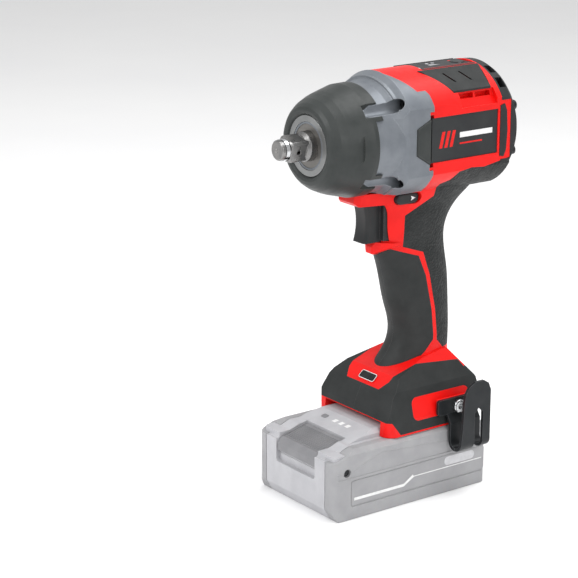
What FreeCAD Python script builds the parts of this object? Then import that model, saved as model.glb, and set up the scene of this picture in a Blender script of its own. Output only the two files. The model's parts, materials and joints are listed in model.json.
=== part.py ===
"""Cordless impact wrench with a square drive and a slide-on battery pack.

Frame: millimetres, +Z up, the drive points along -Y, +X is the tool's left side.
X = 0 is the parting plane, Z = 0 the underside of the pack, Y = 0 the pack's middle.
"""
import FreeCAD, Part
import math
import os

V = FreeCAD.Vector

# ---- driving dimensions -------------------------------------------------------------
DRIVE_Z = 221.0          # height of the drive axis
BARREL_R = 38.8          # round of the motor barrel
BARREL_HALF = 33.0       # flat sides of the barrel
BARREL_DROP = 35.0       # flat underside of the barrel, below the drive axis
CASE_REAR_Y = 16.0       # rear edge of the gear case
CASE_BORE_R = 28.6       # inside of the gear case
NOSE_Y = -51.3           # front face of the nose
ANVIL_TIP_Y = -73.0
SQUARE = 12.7            # half-inch square drive
SQUARE_TURN = 15.0       # degrees the square stands turned at rest
JOURNAL_R = 8.9
HAMMER_R = 25.6
SPINDLE_R = 6.5
GEAR_MODULE = 0.9
PRESSURE_ANGLE = 25.0
SUN_TEETH = 12
PLANET_TEETH = 18
RING_TEETH = SUN_TEETH + 2 * PLANET_TEETH
GEAR_FRONT_Y = 6.0
GEAR_REAR_Y = 13.0
STATOR_R = 27.0
SKIN = 1.8               # thickness of the soft overmoulds
PACK_HALF = 38.0         # half width of the battery pack
PACK_HALF_LENGTH = 60.0
SHOULDER_Z = 43.0        # top of the pack's shoulders
SPINE_Z = 48.0           # top of the pack's raised middle
SPINE_HALF = 27.0
TRIGGER_HALF = 6.3
FLANGE_HALF = 9.9        # half width of the trigger's rear flange
LEVER_HALF = 18.6        # half length of the direction lever
HOOK_PLATE = 2.0         # thickness of the hook's steel
GAP = 0.3                # clearance between bodies that move past each other
BIG = 400.0


# ---- small tools --------------------------------------------------------------------
def box(x0, x1, y0, y1, z0, z1):
    return Part.makeBox(x1 - x0, y1 - y0, z1 - z0, V(x0, y0, z0))


def rod_y(r, y0, y1, x=0.0, z=DRIVE_Z):
    return Part.makeCylinder(r, y1 - y0, V(x, y0, z), V(0, 1, 0))


def rod_x(r, x0, x1, y, z):
    return Part.makeCylinder(r, x1 - x0, V(x0, y, z), V(1, 0, 0))


def rod_z(r, z0, z1, x, y):
    return Part.makeCylinder(r, z1 - z0, V(x, y, z0), V(0, 0, 1))


def ring_y(r_in, r_out, y0, y1):
    return rod_y(r_out, y0, y1).cut(rod_y(r_in, y0 - 1, y1 + 1))


def polygon(points):
    return Part.Face(Part.makePolygon(points + [points[0]]))


def prism_x(yz, x0, x1):
    return polygon([V(x0, y, z) for y, z in yz]).extrude(V(x1 - x0, 0, 0))


def prism_y(xz, y0, y1):
    return polygon([V(x, y0, z) for x, z in xz]).extrude(V(0, y1 - y0, 0))


def prism_z(xy, z0, z1):
    return polygon([V(x, y, z0) for x, y in xy]).extrude(V(0, 0, z1 - z0))


def revolve_y(yr):
    """Solid of revolution about the drive axis from a closed (Y, radius) outline."""
    face = polygon([V(0, y, DRIVE_Z + r) for y, r in yr])
    return face.revolve(V(0, 0, DRIVE_Z), V(0, 1, 0), 360)


def fuse(first, *others):
    return first.fuse(list(others))


def cut(first, *others):
    return first.cut(list(others))


def mirrored(shape):
    return shape.mirror(V(0, 0, 0), V(1, 0, 0))


def spun(shape, degrees):
    """A copy turned about the drive axis."""
    copy = shape.copy()
    copy.rotate(V(0, 0, DRIVE_Z), V(0, 1, 0), degrees)
    return copy


def left_half(shape):
    return shape.common(box(0, BIG, -BIG, BIG, -BIG, BIG))


def group(shapes):
    return Part.makeCompound(shapes)


def round_edges(shape, radius, wanted):
    """Fillet the edges for which wanted(edge) is true."""
    return shape.makeFillet(radius, [edge for edge in shape.Edges if wanted(edge)])


def upright(edge):
    """True for a straight edge along Z."""
    ends = [vertex.Point for vertex in edge.Vertexes]
    if len(ends) < 2:
        return False
    return abs(ends[0].x - ends[1].x) < 1e-4 and abs(ends[0].y - ends[1].y) < 1e-4


def save(node, shape):
    if isinstance(shape, Part.Compound):
        solids = [solid for solid in shape.Solids if solid.Volume > 0.2]
        shape = solids[0] if len(solids) == 1 else Part.makeCompound(solids)
    shape.exportStep("parts/%s.step" % node)


# ---- the handle as a stack of rounded sections --------------------------------------
# height: (front Y, rear Y, half width)
HANDLE_SECTIONS = [
    (72.0, -1.0, 57.0, 19.0),
    (79.0, 5.0, 54.6, 17.0),
    (88.0, 12.0, 54.0, 16.3),
    (98.0, 14.4, 53.9, 16.3),
    (114.0, 10.2, 53.5, 16.3),
    (134.0, 5.2, 52.2, 16.3),
    (148.0, 0.8, 49.8, 16.4),
    (159.0, -3.4, 49.6, 16.6),
    (169.0, -4.7, 53.2, 17.2),
    (179.0, -5.8, 62.2, 19.0),
    (190.0, -7.5, 72.5, 23.4),
]
SECTION_POINTS = 14
ROUNDNESS = 2.1          # exponent of the rounded section, 2 is an ellipse


def rounded_section(z, front, rear, half, inset):
    centre = (front + rear) / 2
    length = (rear - front) / 2 - inset
    width = half - inset
    points = []
    for step in range(SECTION_POINTS):
        turn = 2 * math.pi * (step + 0.5) / SECTION_POINTS
        c, s = math.cos(turn), math.sin(turn)
        x = width * math.copysign(abs(c) ** (2 / ROUNDNESS), c)
        y = centre + length * math.copysign(abs(s) ** (2 / ROUNDNESS), s)
        points.append(V(x, y, z))
    curve = Part.BSplineCurve()
    curve.interpolate(points, PeriodicFlag=True)
    return Part.Wire(curve.toShape())


def handle(inset):
    wires = [rounded_section(z, f, r, w, inset) for z, f, r, w in HANDLE_SECTIONS]
    return Part.makeLoft(wires, True, False)


# ---- outer forms --------------------------------------------------------------------
def barrel_form(y0, y1, inset=0.0):
    flat = BARREL_HALF - inset
    return rod_y(BARREL_R - inset, y0, y1).common(
        box(-flat, flat, y0, y1, DRIVE_Z - BARREL_DROP + inset, DRIVE_Z + BARREL_R))


def foot_form(inset=0.0):
    """The foot: a side outline, a front outline and rounded upright corners, intersected."""
    side = [(-17.0 + inset, 43.2), (-16.4 + inset, 51.5), (-15.2 + inset, 56.0),
            (-10.5 + inset, 66.5 - inset), (-1.0 + inset, 75.5 - inset),
            (22.0, 83.0 - inset), (43.0 - inset, 85.5 - inset),
            (55.5 - inset, 68.0 - inset), (57.5 - inset, 55.0), (57.5 - inset, 43.2)]
    flank = [(36.0, 43.2), (35.2, 52.0), (33.0, 61.0), (30.5, 69.5), (22.5, 79.0), (16.0, 86.5)]
    front = [(x - inset, z) for x, z in flank] + [(inset - x, z) for x, z in reversed(flank)]
    block = box(-36.0 + inset, 36.0 - inset, -17.0 + inset, 57.5 - inset, 43.2, 90.0)
    plan = round_edges(block, 7.5, upright)
    return prism_x(side, -36.0, 36.0).common(prism_y(front, -18, 62)).common(plan)


def red_barrel():
    """Barrel between gear case and rear cap, with the crown over the gear case."""
    long_barrel = barrel_form(-3.0, CAP_SIDE_Y)
    behind = box(-50, 50, CASE_REAR_Y, CAP_TOP_Y, 150, 270)
    side_bite = box(29.8, 40.0, 13.2, CASE_REAR_Y + 1, 203.7, 238.3)
    keep = fuse(behind, crown_region(), cap_tongue(), mirrored(cap_tongue()), side_bite,
                mirrored(side_bite))
    return long_barrel.common(keep)


def chin_form():
    """The narrow prow under the nose, above the trigger."""
    outline = [(-7.2, -22.8), (7.2, -22.8), (9.5, -19.0), (15.5, 2.0), (15.5, 20.0),
               (-15.5, 20.0), (-15.5, 2.0), (-9.5, -19.0)]
    prow = prism_z(outline, 181.6, 192.0)
    slope = prism_x([(-30.0, 181.0), (-30.0, 193.0), (-22.0, 193.0), (-22.9, 184.0), (-19.5, 181.0)],
                    -20, 20)
    return prow.cut(slope)


def guard_form():
    """The web under the trigger: narrow at its tip, its underside rising to the sides."""
    outline = [(-6.0, 152.6), (-5.5, 149.6), (0.5, 146.6), (16.0, 146.6), (16.0, 156.9), (-4.0, 156.9)]
    plan = [(-2.5, -5.5), (2.5, -5.5), (8.0, -2.0), (13.0, 3.0), (15.0, 16.0), (-15.0, 16.0),
            (-13.0, 3.0), (-8.0, -2.0)]
    belly = [(0.0, 147.8), (16.0, 155.9), (16.0, 157.0), (-16.0, 157.0), (-16.0, 155.9)]
    return prism_x(outline, -16, 16).common(prism_z(plan, 146, 158)).common(prism_y(belly, -7, 17))


# ---- regions of the soft overmoulds, seen from the side -----------------------------
def front_grip_region():
    outline = [(-12.0, 156.0), (0.0, 153.8), (20.5, 147.2), (26.3, 134.0), (31.3, 112.0),
               (33.2, 95.0), (33.0, 92.0), (27.0, 85.5), (12.0, 74.0), (-12.0, 72.0)]
    return prism_x(outline, 0, 40)


def rear_grip_region():
    outline = [(90.0, 206.6), (73.6, 203.6), (56.0, 200.6), (46.0, 201.4), (37.0, 200.0), (33.0, 194.8),
               (27.0, 192.6), (27.0, 184.4), (9.8, 173.5),
               (9.6, 154.0), (23.7, 149.2), (29.2, 134.0), (34.0, 112.0), (35.9, 95.0),
               (36.0, 91.5), (41.5, 85.5), (56.0, 85.0), (90.0, 85.0)]
    return prism_x(outline, 0, 45)


def grip_wrap():
    """Where the left rear grip goes on under the barrel."""
    skin = barrel_form(20.0, CAP_SIDE_Y).cut(barrel_form(20.0, CAP_SIDE_Y, SKIN))
    return left_half(skin).common(rear_grip_region())


def foot_cover_region():
    """Everything the soft foot cover hides: not the lip, the top band or the hook recess."""
    region = box(0, 40, -20, 70, 44.2, 90)
    lip = box(0, 40, -20, -7.5, 40, 52.4)
    lip = lip.cut(prism_x([(-20, 52.5), (-13.6, 52.5), (-7.4, 44.0), (-7.4, 60.0)], 0, 40))
    band = prism_z([(-1, -9.0), (15.5, -9.0), (19.5, -4.0), (23.0, 47.5), (26.5, 49.5),
                    (16.0, 70.0), (-1, 70.0)], 68.0, 90.0)
    recess = round_edges(box(28, 40, 3.0, 48.0, 50.4, 64.4), 4.0, along_x)
    return cut(region, lip, band, recess)


def along_x(edge):
    ends = [vertex.Point for vertex in edge.Vertexes]
    if len(ends) < 2:
        return False
    return abs(ends[0].y - ends[1].y) < 1e-4 and abs(ends[0].z - ends[1].z) < 1e-4


# ---- openings through the shells ----------------------------------------------------
LEVER_Y = 9.6
LEVER_Z = 184.6


def lever_form(half, grow):
    """The oval bar of the direction lever."""
    long_half, short_half = 8.2 + grow, 3.4 + grow
    middle = box(-half, half, LEVER_Y - long_half + short_half, LEVER_Y + long_half - short_half,
                 LEVER_Z - short_half, LEVER_Z + short_half)
    front_end = rod_x(short_half, -half, half, LEVER_Y - long_half + short_half, LEVER_Z)
    rear_end = rod_x(short_half, -half, half, LEVER_Y + long_half - short_half, LEVER_Z)
    return fuse(middle, front_end, rear_end)


SWITCH_BOX = (-9.0, 9.0, 15.0, 37.0, 154.0, 179.0)


def trigger_room():
    """The slot that the trigger travels in, wider where its rear flange slides."""
    blade_slot = box(-TRIGGER_HALF - GAP, TRIGGER_HALF + GAP, -30.0, 15.5, 157.0, 181.4)
    flange_slot = box(-FLANGE_HALF - 0.4, FLANGE_HALF + 0.4, -30.0, 12.0, 157.9, 180.9)
    return fuse(blade_slot, flange_slot)


def motor_room():
    return fuse(rod_y(30.3, CASE_REAR_Y - 1, 27.9), rod_y(STATOR_R + 0.05, 27.0, 57.0),
                rod_y(30.3, 56.1, CAP_SIDE_Y + 1), box(-12.0, 12.0, 22.0, 57.0, 245.0, 254.5))


def switch_room():
    x0, x1, y0, y1, z0, z1 = SWITCH_BOX
    return box(x0, x1, y0 - 0.5, y1 + 0.5, z0, z1)


def wire_room():
    """The way for the wires from the foot up to the motor."""
    return prism_x([(30.0, 150.0), (30.0, 200.0), (43.0, 200.0), (43.0, 150.0), (47.0, 96.0),
                    (47.0, 63.0), (24.0, 63.0), (24.0, 96.0)], -8.5, 8.5)


def pack_room():
    """The slot that the pack slides into, with the rooms for the contacts and the board."""
    return fuse(box(-SPINE_HALF - GAP, SPINE_HALF + GAP, -30.0, 53.0, 40.0, 52.0),
                box(-20.0, 20.0, 12.0, 45.0, 50.0, 59.0), box(-26.0, 26.0, 2.0, 52.0, 58.5, 66.0))


# Screws of the clam shell: (Y, Z, X of the head's seat on the right side)
SCREW_SITES = [(23.5, 187.0, -17.0), (64.4, 190.4, -15.5), (64.4, 251.5, -13.0),
               (-3.0, 63.0, -29.0), (50.0, 55.5, -30.0), (17.0, 128.0, -9.0)]
SCREW_HEAD_R = 3.0


def screw_boss(y, z):
    return rod_x(3.8, -BIG, BIG, y, z)


# ---- red clam shell and its soft skins ----------------------------------------------
def shell_barrel():
    """The left barrel, hollowed and with its trim pockets."""
    bosses = [screw_boss(y, z) for y, z, _ in SCREW_SITES]
    room = cut(motor_room(), *bosses)
    case_threads = [rod_y(2.0, 0.0, 27.0, x, z) for x, z in case_screw_places() if x > 0]
    barrel = left_half(red_barrel()).cut(rod_y(36.45, -60, CASE_REAR_Y))
    barrel = barrel.cut(room)
    pockets = [panel_form(0.0), strip_form(0.0), bumper_form(0.0), ear_form(0.0), vent_cuts(),
               panel_block(0.0, 265.0), grip_wrap(), *case_threads, *screw_shafts()]
    for pocket in pockets:
        barrel = barrel.cut(pocket)
    return barrel


def shell_handle():
    """The left handle core with the red line between the grips, the web and the prow."""
    proud = cut(left_half(handle(0.0)), front_grip_region(), rear_grip_region())
    body = fuse(left_half(handle(SKIN)), proud, left_half(chin_form()), left_half(guard_form()))
    rooms = [motor_room(), box(-40.0, 40.0, -60.0, CASE_REAR_Y, CASE_FLOOR_Z - 0.1, 234.0), trigger_room(),
             switch_room(), wire_room(), cap_outside()]
    for room in rooms:
        body = body.cut(room)
    return body


def hook_pad():
    """The flat pad that the belt hook's plate is screwed to."""
    return box(28.0, HOOK_PLATE_X - 0.05, 22.0, 47.5, 51.8, 59.8)


def shell_foot():
    """The left foot with the slot for the pack and the rail in it."""
    proud = left_half(foot_form()).cut(foot_cover_region())
    body = fuse(left_half(foot_form(SKIN)), proud, hook_pad())
    for room in (pack_room(), wire_room(), hook_screw_hole()):
        body = body.cut(room)
    return body.fuse(pack_rail())


def screw_shafts():
    return [rod_x(1.3, -1.0, 12.0, y, z) for y, z, _ in SCREW_SITES]


def screw_wells():
    """Clearance holes and head wells on the right side."""
    wells = []
    for y, z, seat in SCREW_SITES:
        wells.append(rod_x(1.6, seat, 0, y, z))
        wells.append(rod_x(SCREW_HEAD_R + 0.2, -60.0, seat, y, z))
    return wells


def build_shells():
    left = fuse(shell_handle(), shell_barrel(), shell_foot())
    cap_threads = [spun(rod_y(1.3, 58.3, 80.0, 0, DRIVE_Z + CAP_SCREW_R), turn) for turn in CAP_SCREW_TURNS]
    for room in (*screw_shafts(), *cap_threads, lever_form(30.0, GAP), button_room()):
        left = left.cut(room)
    right = mirrored(left)
    for well in screw_wells():
        right = right.cut(well)
    save("housing_left", biggest(left))
    save("housing_right", biggest(right))

    skin = left_half(handle(0.0).cut(handle(SKIN)))
    foot = left_half(foot_form())
    front_grip = cut(skin.common(front_grip_region()), foot, guard_form(), trigger_room())
    rear_grip = cut(skin.common(rear_grip_region()), left_half(barrel_form(0.0, CAP_SIDE_Y)))
    rear_grip = fuse(rear_grip, grip_wrap().cut(handle(SKIN)))
    rear_grip = cut(rear_grip, foot, left_half(chin_form()), guard_form(), cap_outside())
    cover = foot.cut(left_half(foot_form(SKIN))).common(foot_cover_region())
    cover = cut(cover, handle(0.0), pack_room(), hook_pad(), hook_screw_hole())
    for name, piece in (("grip_front", front_grip), ("grip_rear", rear_grip), ("foot_cover", cover)):
        save(name + "_left", biggest(piece))
        save(name + "_right", biggest(cut(mirrored(piece), *screw_wells())))


def biggest(shape):
    return max(shape.Solids, key=lambda solid: solid.Volume)


def pack_rail():
    """The left rail that the pack's groove runs on."""
    return box(SPINE_HALF - 2.4, SPINE_HALF + 4.0, -6.0, 52.0, 45.2, 47.0)


def hook_screw_hole():
    return rod_x(HOOK_THREAD_R, 22.0, 40.0, HOOK_SCREW_Y, HOOK_SCREW_Z)


def build_housing_screws():
    screws = []
    for y, z, seat in SCREW_SITES:
        head = rod_x(SCREW_HEAD_R, seat - 2.2, seat, y, z)
        socket = Part.Face(Part.makePolygon(
            [V(seat - 2.3, y + 1.5 * math.cos(a), z + 1.5 * math.sin(a))
             for a in [math.pi * k / 3 for k in range(7)]])).extrude(V(1.6, 0, 0))
        screws.append(fuse(head.cut(socket), rod_x(1.28, seat - 0.5, 11.5, y, z)))
    save("housing_screws", group(screws))


# ---- trim on the barrel's sides -----------------------------------------------------
def panel_form(clear):
    """Inset panel on the flat side of the barrel."""
    outline = [(15.0 + clear, 207.8 + clear), (66.0 - clear, 207.8 + clear),
               (66.0 - clear, 234.6 - clear), (15.0 + clear, 234.6 - clear)]
    return prism_x(outline, BARREL_HALF - 1.6, BARREL_HALF + 1)


def strip_form(clear):
    """Upright strip between the panel and the rear cap."""
    outline = [(67.6 + clear, 205.6 + clear), (71.0 - clear, 205.0 + clear), (72.8 - clear, 209.0),
               (73.6 - clear, 221.0), (72.8 - clear, 233.0), (71.0 - clear, 237.4 - clear),
               (67.6 + clear, 236.4 - clear)]
    return prism_x(outline, BARREL_HALF - 1.6, BARREL_HALF + 1)


def bumper_form(clear):
    """Six-sided pad set in the notch of the gear case."""
    outline = [(3.0 + clear, 213.6), (3.0 + clear, 229.4), (12.8, 234.2 - clear),
               (14.0 - clear, 234.2 - clear), (14.0 - clear, 207.4 + clear), (12.8, 207.4 + clear)]
    return prism_x(outline, BARREL_HALF - 2.2, BARREL_HALF + 2)


def ear_form(clear):
    """Plate on the upper shoulder, on the chord from the top flat to the side."""
    slab = prism_y([(11.6, 259.6), (12.4, 262.0), (34.0, 262.0), (30.0, 246.8), (27.6, 246.8), (10.6, 257.4)],
                   19.0, 76.2)
    keep = prism_z([(10.6 + clear, 20.4 + clear), (28.4, 34.0 + clear), (40.0, 34.0 + clear),
                    (40.0, 63.3 - clear), (28.6, 63.3 - clear), (10.6 + clear, 67.6 - clear)], 240.0, 265.0)
    return slab.common(keep)


def vent_cuts():
    """The recess under the ear plate and its two louvres."""
    recess = prism_y([(27.6, 246.9), (40.0, 246.9), (40.0, 238.0), (31.6, 238.0), (28.8, 242.3)],
                     37.0, 65.0)
    first = box(24.0, 34.0, 38.0, 49.6, 242.6, 245.6)
    second = box(24.0, 34.0, 51.0, 62.8, 242.6, 245.6)
    return fuse(recess, first, second)


def build_side_trim():
    skin = left_half(barrel_form(-2.0, CAP_SIDE_Y, -0.4))
    panel = panel_form(0.1).common(box(0, BARREL_HALF - 0.5, 0, 90, 190, 260))
    strip = strip_form(0.1).common(skin)
    bumper = bumper_form(0.15).common(box(0, BARREL_HALF + 0.9, 0, 90, 190, 260))
    bumper = bumper.makeChamfer(0.7, [e for e in bumper.Edges if e.CenterOfMass.x > BARREL_HALF + 0.8])
    ear = ear_form(0.1).common(prism_y([(0, 262), (10.0, 260.4), (28.7, 248.0), (28.7, 240), (0, 240)],
                                       10, 80)).common(left_half(barrel_form(0, 77, -0.6)))
    slots = [prism_x([(y, 256.4), (y + 1.4, 256.4), (y + 6.0, 251.8), (y + 4.6, 251.8)], 10, 40)
             for y in (35.6, 48.0)]
    ear = cut(ear, *slots)
    for name, piece in (("side_panels", panel), ("rear_strips", strip), ("side_bumpers", bumper),
                        ("ear_plates", ear)):
        save(name, group([biggest(piece), biggest(mirrored(piece))]))


PANEL_FRONT_Y = 26.0
PANEL_REAR_Y = 67.4
PANEL_HALF = 9.7
PANEL_TOP_Z = 258.9
BUTTON_Y = 61.0
CAP_SCREW_R = 32.4       # radius that the rear cap's screws sit at
CAP_SCREW_TURNS = (65, 115, 245, 295)


def panel_block(clear, top):
    plan = [(-PANEL_HALF + clear, PANEL_FRONT_Y + clear), (PANEL_HALF - clear, PANEL_FRONT_Y + clear),
            (PANEL_HALF - clear, PANEL_REAR_Y - clear), (-PANEL_HALF + clear, PANEL_REAR_Y - clear)]
    return prism_z(plan, 257.4, top)


def button_room():
    """The well and the stem's hole of the mode button."""
    return fuse(rod_z(4.5, 256.5, 262.0, 0, BUTTON_Y), rod_z(1.9, 254.0, 257.0, 0, BUTTON_Y))


def build_control_panel():
    well = rod_z(4.6, 257.0, 262.0, 0, BUTTON_Y)
    panel = panel_block(0.1, PANEL_TOP_Z).common(barrel_form(20.0, 72.0, -0.1))
    save("control_panel", panel.cut(well))
    button = rod_z(4.2, 257.7, PANEL_TOP_Z + 0.4, 0, BUTTON_Y)
    stem = rod_z(1.5, 255.2, 258.0, 0, BUTTON_Y)
    save("mode_button", fuse(button, stem))


# ---- gear case and nose -------------------------------------------------------------
CASE_FLOOR_Z = 189.1     # flat underside of the case, on the handle's top
CASE_SCREW_X = 26.0
CASE_SCREW_DZ = 22.3     # above and below the drive axis
CASE_SCREW_HEAD_Y = -1.0


def case_screw_places():
    return [(x, DRIVE_Z + dz) for x in (-CASE_SCREW_X, CASE_SCREW_X)
            for dz in (-CASE_SCREW_DZ, CASE_SCREW_DZ)]


def crown_region():
    """Where the red shell reaches forward over the top of the gear case."""
    plan = [(-8.0, -2.2), (8.0, -2.2), (14.5, 1.2), (26.0, 8.6), (26.0, 14.6), (30.0, CASE_REAR_Y + 1),
            (-30.0, CASE_REAR_Y + 1), (-26.0, 14.6), (-26.0, 8.6), (-14.5, 1.2)]
    return prism_z(plan, 236.0, 265.0)


def case_core():
    """The part of the case that runs back under the red crown."""
    return rod_y(36.4, -8.0, CASE_REAR_Y - 2).common(box(-30.0, 30.0, -8.0, 20.0, CASE_FLOOR_Z, 265.0))


def case_outside():
    body = revolve_y([(NOSE_Y + 0.3, 0), (NOSE_Y + 0.3, 18.0), (-48.6, 18.0), (-48.6, 24.0), (-46.0, 25.4),
                      (-42.0, 27.5), (-38.0, 28.4), (-27.0, 30.6), (-24.0, 32.4), (-11.0, 33.0),
                      (0.0, 33.0), (0.0, 0)])
    body = body.cut(box(-50, 50, -22.9, 20, 150, CASE_FLOOR_Z))
    flange = revolve_y([(-12.5, 0), (-12.5, 32.8), (-11.5, 32.9), (-8.0, 35.0), (-2.5, 39.0),
                        (CASE_REAR_Y, 39.0), (CASE_REAR_Y, 0)])
    flange = flange.common(box(-BARREL_HALF - 0.3, BARREL_HALF + 0.3, -14, CASE_REAR_Y, CASE_FLOOR_Z,
                               262.0))
    flange = flange.cut(side_crease()).cut(mirrored(side_crease()))
    flange = flange.cut(crown_region())
    for notch in (bumper_form(0.0), mirrored(bumper_form(0.0))):
        flange = flange.cut(notch)
    rear_bite = box(30.0, 40.0, 13.0, CASE_REAR_Y + 1, 203.5, 238.5)
    flange = cut(flange, rear_bite, mirrored(rear_bite))
    return fuse(body, flange, case_core())


def side_crease():
    """The flat sides start a little further back than the top of the flange."""
    return prism_z([(27.5, -15.0), (40.0, -15.0), (40.0, -2.8), (33.35, -2.8), (32.2, -6.6), (28.0, -12.6)],
                   200.0, 242.0)


def build_gear_case():
    case = case_outside()
    bore = revolve_y([(CASE_REAR_Y + 1, 0), (CASE_REAR_Y + 1, CASE_BORE_R), (-20.0, CASE_BORE_R),
                      (-26.0, 27.0), (-33.4, 25.0), (-33.4, 0)])
    bush_seat = rod_y(13.0, -60.0, -30.0)
    ring_seat = ring_y(14.2, 18.5, NOSE_Y - 1, -48.6)
    troughs = [rod_y(4.1, -31.0, CASE_SCREW_HEAD_Y + 4.0, x, z) for x, z in case_screw_places()]
    holes = [rod_y(2.05, 0.0, 30.0, x, z) for x, z in case_screw_places()]
    save("gear_case", biggest(cut(case, bore, bush_seat, ring_seat, *troughs, *holes)))
    screws = []
    for x, z in case_screw_places():
        head = rod_y(3.5, CASE_SCREW_HEAD_Y, CASE_SCREW_HEAD_Y + 4.0, x, z)
        socket = rod_y(1.7, CASE_SCREW_HEAD_Y - 1, CASE_SCREW_HEAD_Y + 2.4, x, z)
        shank = rod_y(1.98, CASE_SCREW_HEAD_Y + 3.9, 26.0, x, z)
        screws.append(fuse(head.cut(socket), shank))
    save("gear_case_screws", group(screws))


def build_nose():
    outside = [(-48.65, 18.3), (-51.2, 18.3), (-52.2, 19.2), (-52.5, 21.0), (-52.0, 23.0), (-50.3, 24.9),
               (-47.0, 27.2), (-42.0, 29.4), (-39.0, 30.4), (-27.0, 33.6), (-19.2, 33.8), (-18.6, 33.2)]
    inside = [(-18.6, 32.75), (-24.0, 32.45), (-27.0, 30.65), (-38.0, 28.45), (-42.0, 27.55), (-46.0, 25.45),
              (-48.65, 24.1)]
    boot = revolve_y(outside + inside)
    side_trim = prism_x([(-24.4, 205.0), (-24.4, 237.0), (-17.0, 237.0), (-17.0, 205.0)], 24, 40)
    pad = round_edges(box(30.6, 40, -51.0, -33.6, 214.0, 231.0), 2.5, along_x)
    troughs = [rod_y(4.6, -30.0, -10.0, x, z) for x, z in case_screw_places()]
    chin_clear = box(-50, 50, -23.2, -10, 150, 189.2)
    boot = cut(boot, side_trim, mirrored(side_trim), pad, mirrored(pad), chin_clear, *troughs)
    save("nose_boot", biggest(boot))
    save("nose_ring", ring_y(14.3, 17.95, NOSE_Y, -48.7))
    bush = ring_y(JOURNAL_R + 0.06, 12.95, NOSE_Y + 0.6, -33.6)
    lead_in = revolve_y([(NOSE_Y, 0), (NOSE_Y, JOURNAL_R + 1.4), (NOSE_Y + 2.2, 0)])
    save("anvil_bush", bush.cut(lead_in))


# ---- hammer mechanism ---------------------------------------------------------------
def square_prism(y0, y1):
    half = SQUARE / 2
    bar = box(-half, half, y0, y1, DRIVE_Z - half, DRIVE_Z + half)
    return spun(bar.common(rod_y(8.2, y0, y1)), SQUARE_TURN)


def jaw(y0, y1, inner, outer, width):
    blade = box(-width / 2, width / 2, y0, y1, DRIVE_Z + inner, DRIVE_Z + outer)
    return blade.common(ring_y(inner + 0.4, outer, y0, y1))


def build_anvil():
    tip = revolve_y([(ANVIL_TIP_Y, 0), (ANVIL_TIP_Y, 5.4), (-72.4, 6.0), (-70.6, 6.0), (-70.6, 5.0),
                     (-67.6, 5.0), (-67.6, 0)])
    square = square_prism(-67.6, -54.6)
    square = square.common(revolve_y([(-67.6, 0), (-67.6, 6.9), (-65.8, 9.5), (-54.0, 9.5), (-54.0, 0)]))
    neck = revolve_y([(-56.6, 0), (-56.6, 7.2), (-54.8, JOURNAL_R), (-33.2, JOURNAL_R), (-33.2, 0)])
    hub = rod_y(9.6, -33.2, -25.6)
    wings = [spun(jaw(-33.0, -25.6, 8.0, 20.5, 11.0), turn) for turn in (0, 180)]
    anvil = fuse(tip, square, neck, hub, *wings)
    dimple = Part.makeCone(1.3, 0.2, 1.3, V(0, ANVIL_TIP_Y - 0.01, DRIVE_Z), V(0, 1, 0))
    pin_hole = spun(rod_x(PIN_HOLE_R, -10, 10, PIN_HOLE_Y, DRIVE_Z), SQUARE_TURN)
    pilot = rod_y(4.05, -31.5, -25.0)
    save("anvil", biggest(cut(anvil, dimple, pin_hole, pilot)))
    split = box(-0.9, 0.9, -72, -66, DRIVE_Z, DRIVE_Z + 10)
    save("friction_ring", spun(ring_y(5.3, 6.45, -70.4, -67.9).cut(split), 130))
    save("friction_o_ring", ring_y(5.02, 5.28, -70.0, -68.3))


PIN_HOLE_Y = -62.0
PIN_HOLE_R = 1.4
CARRIER_FRONT_Y = 4.3
CARRIER_REAR_Y = 15.3
BALL_R = 2.0
BALL_Y = -21.0


def balls():
    return [Part.makeSphere(BALL_R, V(x, BALL_Y, DRIVE_Z)) for x in (-SPINDLE_R, SPINDLE_R)]


def spring_form(wire, radius, pitch, start, length):
    """Round wire wound about the drive axis, in seven equal lengths of the coil."""
    pieces = 7
    share = length / pieces
    coils = []
    for index in range(pieces):
        coil = Part.makeHelix(pitch, share, radius)
        circle = Part.makeCircle(wire, V(radius, 0, 0), V(0, 2 * math.pi * radius, pitch))
        piece = Part.Wire(coil.Edges).makePipeShell([Part.Wire(circle)], True, True)
        piece.rotate(V(0, 0, 0), V(0, 0, 1), 360 * share / pitch * index)
        piece.translate(V(0, 0, share * index))
        coils.append(piece)
    spring = fuse(*coils)
    spring.rotate(V(0, 0, 0), V(1, 0, 0), -90)
    spring.translate(V(0, start, DRIVE_Z))
    return spring


def build_hammer():
    hammer = revolve_y([(-25.0, 0), (-25.0, 24.0), (-23.4, HAMMER_R), (-7.0, HAMMER_R), (-7.0, 0)])
    jaws = [spun(jaw(-32.4, -24.0, 10.2, 21.5, 12.0), 90 + turn) for turn in (0, 180)]
    hammer = fuse(hammer, *jaws)
    spindle_bore = rod_y(SPINDLE_R + 0.06, -40.0, 0.0)
    spring_pocket = ring_y(11.5, 19.0, -17.0, -5.0)
    ball_path = box(-9.0, 9.0, -26.0, -18.7, DRIVE_Z - 2.3, DRIVE_Z + 2.3)
    save("hammer", biggest(cut(hammer, spindle_bore, spring_pocket, ball_path)))
    wire = 1.4
    save("hammer_spring", spring_form(wire, 15.2, 4.6, -15.3, 15.6))
    save("spring_washer", ring_y(10.0, 19.0, CARRIER_FRONT_Y - 1.4, CARRIER_FRONT_Y - 0.2))
    save("cam_balls", group(balls()))


def planet_places():
    reach = GEAR_MODULE * (SUN_TEETH + PLANET_TEETH) / 2
    turns = [math.radians(90 + 120 * k) for k in range(3)]
    return [(reach * math.cos(t), DRIVE_Z + reach * math.sin(t)) for t in turns]


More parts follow.
